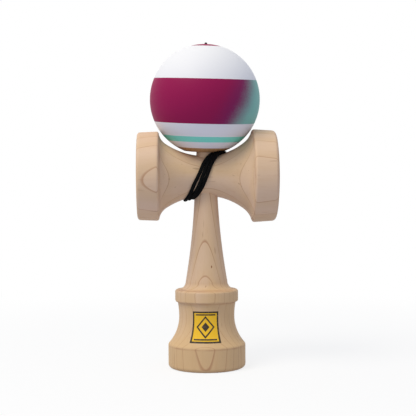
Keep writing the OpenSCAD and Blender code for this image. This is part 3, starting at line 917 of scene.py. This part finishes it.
def winding(s, ball, cross, degrees):
    """Points of the turns round the neck, the direction away from the neck, and the string's thickness there.
    The angle a is 0 at the front and 90 on top. The string crosses from the left of the stem to the right of
    the spike: x = front (1 + cos a) / 2 + side sin^6 a + cross sin a + hook sin^5 a + step (a - last) / 360,
    less the slack in a bell-shaped bow of the first turn. On its way up it stands off the neck, and where the
    ball comes close, the ball presses it flat."""
    a = np.radians(degrees)
    last = 180 + 360 * (s.turns - 1)
    x = (s.front * (1 + np.cos(a)) / 2 + s.side * np.sin(a) ** 6 + s.cross * np.sin(a)
         + s.hook * np.sin(a) ** 5 + s.step * (degrees - last) / 360
         - s.slack * np.exp(-((degrees - SLACK_AT) / SLACK_HALF) ** 2))
    out = np.column_stack((np.zeros(len(a)), -np.cos(a), np.sin(a)))
    axis = np.column_stack((x, np.zeros(len(a)), np.full(len(a), CROSS_Z)))
    to_ball = BALL_CENTRE - axis
    ahead = (to_ball * out).sum(1)
    under = ahead ** 2 - (to_ball ** 2).sum(1) + (ball.ball_r + PRESS_GAP) ** 2
    near = (under > 0) & (ahead > 0)
    room = np.where(near, ahead - np.sqrt(np.maximum(under, 0)), ball.ball_r)
    neck = neck_radius(cross, x) + s.lift
    thick = np.minimum(2 * s.string_r * WOUND_FLAT, room - neck)
    round_front = (degrees - TENT_AT + 180) % 360 - 180
    tent = np.minimum(s.tent * np.exp(-(round_front / TENT_HALF) ** 2), room - neck - thick)
    return axis + (neck + tent + thick / 2)[:, None] * out, out, thick / (2 * s.string_r)


STRING_SMOOTH = 9


def smoothed(line):
    """A running mean along a line, with bell-shaped weights. It keeps the two ends where they are."""
    k = STRING_SMOOTH
    before = 2 * line[0] - line[k:0:-1]
    after = 2 * line[-1] - line[-2:-k - 2:-1]
    longer = np.vstack((before, line, after))
    weights = np.hanning(2 * k + 3)[1:-1]
    weights = weights / weights.sum()
    return np.column_stack([np.convolve(column, weights, "valid") for column in longer.T])


WIND_START = -151.0
WIND_BEND = 14.5
WIND_LEAD = 0.016
WIND_SAMPLES = 2400
OVER_IN = 0.0026
OVER_TURN = 80.0
TAIL_END = -0.0019
BEND_SAMPLES = 40
LAY_SAMPLES = 160
RUN_SAMPLES = 60
KNOT_CLEAR = 1.7
STRING_STEP = 0.00016
# The string on the back of the ball: degrees above the ball's middle, and millimetres to the right.
LAY_ANGLES = (-25.5, -18, -10, 0, 10, 20, 30, 39, 48, 57, 66, 74, 82, 88)
LAY_RIGHT = (-2.9, -2.5, -2.1, -1.7, -1.3, -0.9, -0.6, -0.3, 0, 0.2, 0.4, 0.6, 0.7, 0.8)


def string_route(s, ball, cross):
    """The string's whole line, the direction away from the wood at each point of it, and the share of its
    thickness that it keeps: up out of the bead, over the top of the ball, down its back, straight on to the
    neck, round it, and through the hole."""
    to_back = np.array((0.0, 1.0, 0.0))
    back = unit(to_back - BALL_AXIS[1] * BALL_AXIS)
    low = ball.bead_low + KNOT_CLEAR * s.knot_r
    core = on_ball_axis(np.linspace(low, ball.ball_r - OVER_IN, BEND_SAMPLES))
    core_out = np.tile(-back, (len(core), 1))
    a = np.radians(np.linspace(0, OVER_TURN, BEND_SAMPLES))[1:, None]
    over = BALL_CENTRE + (ball.ball_r - OVER_IN + s.over_r * np.sin(a)) * BALL_AXIS
    over = over + s.over_r * (1 - np.cos(a)) * back
    over_out = -np.cos(a) * back + np.sin(a) * BALL_AXIS
    degrees = np.linspace(LAY_ANGLES[-1], LAY_ANGLES[0], LAY_SAMPLES)
    lay_r = ball.ball_r + s.string_r + s.lay_lift
    right = np.interp(degrees, LAY_ANGLES, LAY_RIGHT) / 1000
    c = np.radians(degrees)
    lay_out = np.column_stack((right, lay_r * np.cos(c), lay_r * np.sin(c)))
    lay = BALL_CENTRE + lay_out
    last = 180 + 360 * (s.turns - 1) - WIND_BEND
    turns, turns_out, pressed = winding(s, ball, cross, np.linspace(WIND_START, last, WIND_SAMPLES))
    into = unit(turns[1] - turns[0])
    join = turns[0] - WIND_LEAD * into
    share = np.linspace(0, 1, RUN_SAMPLES)[1:, None]
    run = lay[-1] + share * (join - lay[-1])
    lead = join + share[:-1] * (turns[0] - join)
    fly = np.vstack((run, lead))
    fly_share = np.linspace(0, 1, len(fly))[:, None]
    fly_out = unit(lay_out[-1]) * (1 - fly_share) + turns_out[0] * fly_share
    to_hole = np.array((-turns[-1, 0], 0, CROSS_Z - turns[-1, 2]))
    bend_r = np.linalg.norm(to_hole)
    b = np.radians(np.linspace(0, 90, BEND_SAMPLES))[1:, None]
    bend = turns[-1] + np.sin(b) * to_hole + bend_r * (np.cos(b) - 1) * to_back
    bend_out = np.cos(b) * to_back + np.sin(b) * unit(to_hole)
    depth = np.linspace(bend[-1, 1], TAIL_END, RUN_SAMPLES)[1:]
    tail = np.column_stack((np.zeros(len(depth)), depth, np.full(len(depth), CROSS_Z)))
    tail_out = np.tile(unit(to_hole), (len(depth), 1))
    line = np.vstack((core, over, lay, fly, turns, bend, tail))
    out = np.vstack((core_out, over_out, unit(lay_out), fly_out, turns_out, bend_out, tail_out))
    before = len(core) + len(over) + len(lay) + len(fly)
    kept = np.concatenate((np.ones(before), pressed, np.ones(len(bend) + len(tail))))
    far = along(line)
    even = np.linspace(0, far[-1], int(far[-1] / STRING_STEP))
    columns = np.column_stack((line, out, kept)).T
    laid = smoothed(np.column_stack([np.interp(even, far, column) for column in columns]))
    return laid[:, :3], laid[:, 3:6], laid[:, 6]


STRING_SIDES = 30
BRAID_YARNS = 3
BRAID_PITCH = 0.0022
BRAID_RELIEF = 0.07
BRAID_SHARP = 80.0


def braid(line, radius):
    """Radius of a braided string on a grid: two sets of yarns wind opposite ways, and the string is thick
    where they cross over: r (1 - k + k cos(n f + w) cos(n f - w)), with w growing by a turn in each pitch."""
    far = along(line)[:, None] * 2 * np.pi / BRAID_PITCH
    turn = np.linspace(0, 2 * np.pi, STRING_SIDES, endpoint=False)[None, :]
    weave = np.cos(BRAID_YARNS * turn + far) * np.cos(BRAID_YARNS * turn - far)
    return radius * (1 - BRAID_RELIEF + BRAID_RELIEF * weave)


KNOT_YARN = 0.00045
KNOT_DEPTH = 1.3
KNOT_SAMPLES = 180
KNOT_SIDES = 14


def knot(centre, right, up, outer):
    """A pulled-tight overhand knot, drawn as a threefold knot across right and up and scaled to the outer
    radius: (sin t + 2 sin 2t, cos t - 2 cos 2t, -d sin 3t), where d is its depth."""
    t = np.linspace(0, 2 * np.pi, KNOT_SAMPLES, endpoint=False)
    scale = (outer - KNOT_YARN) / 3
    around = (np.sin(t) + 2 * np.sin(2 * t), np.cos(t) - 2 * np.cos(2 * t), -KNOT_DEPTH * np.sin(3 * t))
    axes = np.vstack((right, np.cross(up, right), up))
    path = centre + scale * np.column_stack(around) @ axes
    lifted = np.tile(np.asarray(up, float), (KNOT_SAMPLES, 1))
    radius = np.full((KNOT_SAMPLES, KNOT_SIDES), KNOT_YARN)
    return tube(path, lifted, radius, closed=True)


HANDLE_KNOT_Y = -0.00316


class KENDAMA_OT_string(bpy.types.Operator):
    """Winds the braided string from the bead over the ball, round the neck and into the handle"""

    bl_idname = "kendama.string"
    bl_label = "String"

    def execute(self, context):
        settings = context.scene.kendama
        s = settings.string
        yarn = string_finish(settings.finish)
        bead_knot = new_object("knot_in_bead", *knot(
            on_ball_axis(settings.ball.bead_low + s.knot_r), BALL_TURN[0], BALL_AXIS, s.knot_r))
        dress(bead_knot, yarn, ["bead_knot"])
        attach(bead_knot, "bead")
        handle_knot = new_object("knot_in_handle", *knot(
            np.array((0, HANDLE_KNOT_Y, CROSS_Z)), np.array((1.0, 0, 0)), np.array((0, 1.0, 0)), s.knot_r))
        dress(handle_knot, yarn, ["ken_knot"])
        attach(handle_knot, "ken")
        line, out, kept = string_route(s, settings.ball, settings.cross)
        string = new_object("string_braid", *tube(line, out, braid(line, s.string_r), kept=kept))
        dress(string, yarn, ["string_core", "string_drop", "string_winding", "string_tail"],
              BRAID_SHARP)
        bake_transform(string)
        return {"FINISHED"}


def spike_radius(h, z):
    """Radius of the seat and the spike at a height: the seat's radius, less the taper times the height
    above the seat's start."""
    return h.seat_r - h.taper * (z - (CROSS_Z - h.seat_below))


def dish(dish_r, hollow_r, rim):
    """Arc of a cup's hollow from its middle out to its rim: part of a sphere that cuts the rim's plane."""
    drop = math.sqrt(dish_r ** 2 - hollow_r ** 2)
    return arc((0, rim - drop), dish_r, 90, math.degrees(math.atan2(drop, hollow_r)), 3 * ARC_STEPS)


STEM_STEPS = 60


def handle_outline(h):
    """Half outline of the handle, from the middle of the base cup out, and up to the tip. The stem swells
    down from the seat as a parabola that leaves the seat at its taper."""
    flare_x = h.waist_r + h.base_flare
    shoulder_r = h.base_r - h.base_shoulder
    drop = math.sqrt((h.base_flare + h.base_shoulder) ** 2 - (flare_x - shoulder_r) ** 2)
    shoulder = math.degrees(math.atan2(drop, flare_x - shoulder_r))
    ridge_r = h.waist_r + h.ridge_out
    ridge_z = h.waist_z + h.ridge_rise
    ridge_top = ridge_z + h.ridge_h
    under_r = ridge_r - h.ridge_lower
    flare_end = h.waist_r + h.ridge_flare - math.sqrt(h.ridge_flare ** 2 - h.ridge_rise ** 2)
    under = under_r - flare_end
    under_turn = math.degrees(math.asin((h.ridge_rise - under) / h.ridge_flare))
    seat_z = CROSS_Z - h.seat_below
    foot_z = ridge_top + h.foot_fillet
    swell = (h.foot_r - spike_radius(h, foot_z)) / (seat_z - foot_z) ** 2
    stem_z = np.linspace(foot_z, seat_z, STEM_STEPS)
    stem = np.column_stack((spike_radius(h, stem_z) + swell * (seat_z - stem_z) ** 2, stem_z))
    tip_r = spike_radius(h, HANDLE_TOP - h.tip_round)
    hollow_r = h.base_r - h.base_edge - h.base_rim
    return spaced(np.vstack((
        dish(h.dish_r, hollow_r, 0.0),
        arc((h.base_r - h.base_edge, h.base_edge), h.base_edge, -90, 0),
        arc((shoulder_r, h.waist_z - drop), h.base_shoulder, 0, shoulder),
        arc((flare_x, h.waist_z), h.base_flare, 180 + shoulder, 180, 2 * ARC_STEPS),
        arc((h.waist_r + h.ridge_flare, h.waist_z), h.ridge_flare, 180, 180 - under_turn),
        arc((under_r, ridge_z - under), under, 180, 90, ARC_STEPS // 2),
        arc((under_r, ridge_z + h.ridge_lower), h.ridge_lower, -90, 0),
        arc((ridge_r - h.ridge_upper, ridge_top - h.ridge_upper), h.ridge_upper, 0, 90),
        arc((h.foot_r + h.foot_fillet, foot_z), h.foot_fillet, 270, 180),
        stem,
        arc((tip_r - h.tip_round, HANDLE_TOP - h.tip_round), h.tip_round, 0, 90),
        ((0.0, HANDLE_TOP),))))


ROD_SIDES = 64


def rod(radius, low, high, place, name, sides=ROD_SIDES):
    """A plain cutter: a cylinder or cone along its own +Z, with a radius at each end."""
    ends = np.array(((0, low), (radius[0], low), (radius[1], high), (0, high)), float)
    points, faces = turned(ends, sides=sides)
    return new_object(name, place(points), faces)


HANDLE_POCKET_Y = -0.0016
DRILL_PAST = 0.001
DRILL_OUT = 0.0102


class KENDAMA_OT_handle(bpy.types.Operator):
    """Turns the handle from the base cup to the spike's tip, and drills it for the string and its knot"""

    bl_idname = "kendama.handle"
    bl_label = "Handle"

    def execute(self, context):
        settings = context.scene.kendama
        h = settings.handle
        s = settings.string
        handle = new_object("ken_turned", *turned(handle_outline(h)))
        pocket_r = settings.ball.pocket_r
        front = HANDLE_POCKET_Y - 2 * h.seat_r
        carve(handle, [
            rod((s.hole_r, s.hole_r), HANDLE_POCKET_Y - DRILL_PAST, DRILL_OUT, along_y, "string_drill"),
            rod((pocket_r, pocket_r), front, HANDLE_POCKET_Y, along_y, "knot_drill")])
        dress(handle, handle_finish(settings.finish), ["ken"])
        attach(handle, "ken")
        return {"FINISHED"}


CUP_EASE = 0.0014
EASE_FROM = -6
EASE_STEPS = 8
HALF_PARTS = ("curve", "start", "flare", "r", "taper", "round", "rim")


def half_outline(c, dish_r, cup):
    """Half outline of the cross-piece from the neck's middle out into one cup, as (radius, distance): a long
    hollow curve, a flare tangent to it, an eased edge, a tapered side, a rounded rim and the cup's hollow."""
    curve, start, flare, cup_r, taper, rounding, rim = (getattr(c, cup + "_" + part) for part in HALF_PARTS)
    reach = CUP_REACH[cup]
    turn = math.asin(start / curve)
    middle = (start - flare * math.sin(turn), c.neck_r + curve - (curve - flare) * math.cos(turn))
    end = math.acos((middle[1] - cup_r) / flare)
    rim_r = cup_r - math.tan(taper) * (reach - middle[0] - flare * math.sin(end))
    neck = arc((0, c.neck_r + curve), curve, 270, 270 + math.degrees(turn), 2 * ARC_STEPS)
    flared = arc(middle, flare, 270 + math.degrees(turn), 270 + math.degrees(end), 2 * ARC_STEPS)
    edge = arc((reach - rounding, rim_r - rounding), rounding, 90 - math.degrees(taper), 0)
    corner = flared[-1]
    ahead = corner + CUP_EASE * unit(edge[0] - corner)
    t = np.linspace(0, 1, EASE_STEPS + 1)[:, None]
    eased = (1 - t) ** 2 * flared[EASE_FROM] + 2 * t * (1 - t) * corner + t ** 2 * ahead
    side = np.vstack((neck, flared[:EASE_FROM], eased, edge))[:, ::-1]
    hollow = dish(dish_r, rim_r - rounding - rim, 0.0)[::-1]
    return np.vstack((side, np.column_stack((hollow[:, 0], reach - hollow[:, 1]))))


SINK_DEPTH = 0.0017
SINK_TIP = 0.0006
BORE_SIDES = 128


class KENDAMA_OT_cross_piece(bpy.types.Operator):
    """Turns the cross-piece with its two cups, bores it for the handle and drills it for the string"""

    bl_idname = "kendama.cross_piece"
    bl_label = "Cross-piece"

    def execute(self, context):
        settings = context.scene.kendama
        c = settings.cross
        h = settings.handle
        s = settings.string
        big = half_outline(c, h.dish_r, "big")
        small = half_outline(c, h.dish_r, "small")
        outline = spaced(np.vstack((small[:0:-1] * (1, -1), big)))
        points, faces = turned(outline)
        piece = new_object("sarado_turned", along_x(points), faces)
        low = CROSS_Z - 2 * c.neck_r
        high = CROSS_Z + 2 * c.neck_r
        bore = (spike_radius(h, low) + c.seat_gap, spike_radius(h, high) + c.seat_gap)
        sink = c.neck_r + s.lift - SINK_DEPTH
        wide = s.hole_r + 4 * SINK_DEPTH
        carve(piece, [
            rod(bore, low, high, np.asarray, "seat_bore", BORE_SIDES),
            rod((s.hole_r, s.hole_r), 0.0, 2 * c.neck_r, along_y, "string_drill"),
            rod((s.hole_r - SINK_TIP, wide), sink - SINK_TIP, sink + 4 * SINK_DEPTH, along_y, "string_sink")])
        dress(piece, cross_piece_finish(settings.finish), ["sarado"])
        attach(piece, "ken")
        return {"FINISHED"}


BALL_STEPS = 120
BALL_SIDES = 192
BEAD_SIDES = 64


def ball_outline(b):
    """Closed outline of the ball's wall: its round outside, the countersink, the string's hole and the
    spike's hole with its bevelled mouth. The countersink is a cone z - r = d, which meets the sphere of
    radius R at z = (d + sqrt(2 R^2 - d^2)) / 2."""
    mouth_r = b.hole_r + b.hole_bevel
    mouth = math.degrees(math.acos(mouth_r / b.ball_r))
    mouth_z = -b.ball_r * math.sin(math.radians(mouth))
    lean_to = b.ball_r - b.sink - b.string_hole
    sink_z = (lean_to + math.sqrt(2 * b.ball_r ** 2 - lean_to ** 2)) / 2
    top = math.degrees(math.asin(sink_z / b.ball_r))
    inside = np.array((
        (b.string_hole, b.ball_r - b.sink),
        (b.string_hole, b.hole_end),
        (b.hole_r, b.hole_end),
        (b.hole_r, mouth_z + b.hole_bevel),
        (mouth_r, mouth_z)))
    outline = np.vstack((arc((0, 0), b.ball_r, -mouth, top, BALL_STEPS), inside))
    return spaced(outline, 2 * PROFILE_STEP)[:-1]


class KENDAMA_OT_ball(bpy.types.Operator):
    """Turns the ball with its two holes and paints its stripes"""

    bl_idname = "kendama.ball"
    bl_label = "Ball"

    def execute(self, context):
        settings = context.scene.kendama
        points, faces = turned(ball_outline(settings.ball), loop=True, sides=BALL_SIDES)
        ball = new_object("tama_painted", on_ball(points), faces)
        dress(ball, ball_finish(settings.finish, settings.ball), ["tama"])
        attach(ball, "tama")
        return {"FINISHED"}


class KENDAMA_OT_bead(bpy.types.Operator):
    """Turns the stop bead that holds the string's knot inside the ball"""

    bl_idname = "kendama.bead"
    bl_label = "Stop bead"

    def execute(self, context):
        settings = context.scene.kendama
        b = settings.ball
        high = b.bead_low + b.bead_l
        inner = b.bead_r - b.bead_round
        outline = np.vstack((
            ((b.pocket_r, b.bead_low),),
            arc((inner, b.bead_low + b.bead_round), b.bead_round, -90, 0),
            arc((inner, high - b.bead_round), b.bead_round, 0, 90),
            ((b.bead_bore, high),),
            ((b.bead_bore, b.bead_low + b.pocket_l),),
            ((b.pocket_r, b.bead_low + b.pocket_l),),
            ((b.pocket_r, b.bead_low),)))
        points, faces = turned(spaced(outline)[:-1], loop=True, sides=BEAD_SIDES)
        bead = new_object("stop_bead_turned", on_ball(points), faces)
        dress(bead, bead_finish(settings.finish), ["stop_bead"])
        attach(bead, "bead")
        return {"FINISHED"}


class KENDAMA_PT_pieces(bpy.types.Panel):
    """Lists the operators that build the toy"""

    bl_idname = "KENDAMA_PT_pieces"
    bl_label = "Kendama"
    bl_space_type = "VIEW_3D"
    bl_region_type = "UI"
    bl_category = "Kendama"

    def draw(self, context):
        column = self.layout.column(align=True)
        for operator in OPERATORS:
            column.operator(operator.bl_idname)


GROUPS = (HandleSizes, CrossPieceSizes, BallSizes, StringSizes, Finishes, KendamaSettings)
OPERATORS = (KENDAMA_OT_stage, KENDAMA_OT_string, KENDAMA_OT_handle, KENDAMA_OT_cross_piece,
             KENDAMA_OT_ball, KENDAMA_OT_bead)
CLASSES = (*GROUPS, *OPERATORS, KENDAMA_PT_pieces)


def register():
    """Adds the classes, and the settings to the scene."""
    for each in CLASSES:
        bpy.utils.register_class(each)
    bpy.types.Scene.kendama = PointerProperty(type=KendamaSettings)


def unregister():
    """Takes the settings and the classes out again."""
    del bpy.types.Scene.kendama
    for each in reversed(CLASSES):
        bpy.utils.unregister_class(each)


def main():
    """Builds the stage and every piece."""
    register()
    bpy.ops.kendama.stage()
    bpy.ops.kendama.string()
    bpy.ops.kendama.handle()
    bpy.ops.kendama.cross_piece()
    bpy.ops.kendama.ball()
    bpy.ops.kendama.bead()
    bpy.context.view_layer.update()


if __name__ == "__main__":
    main()
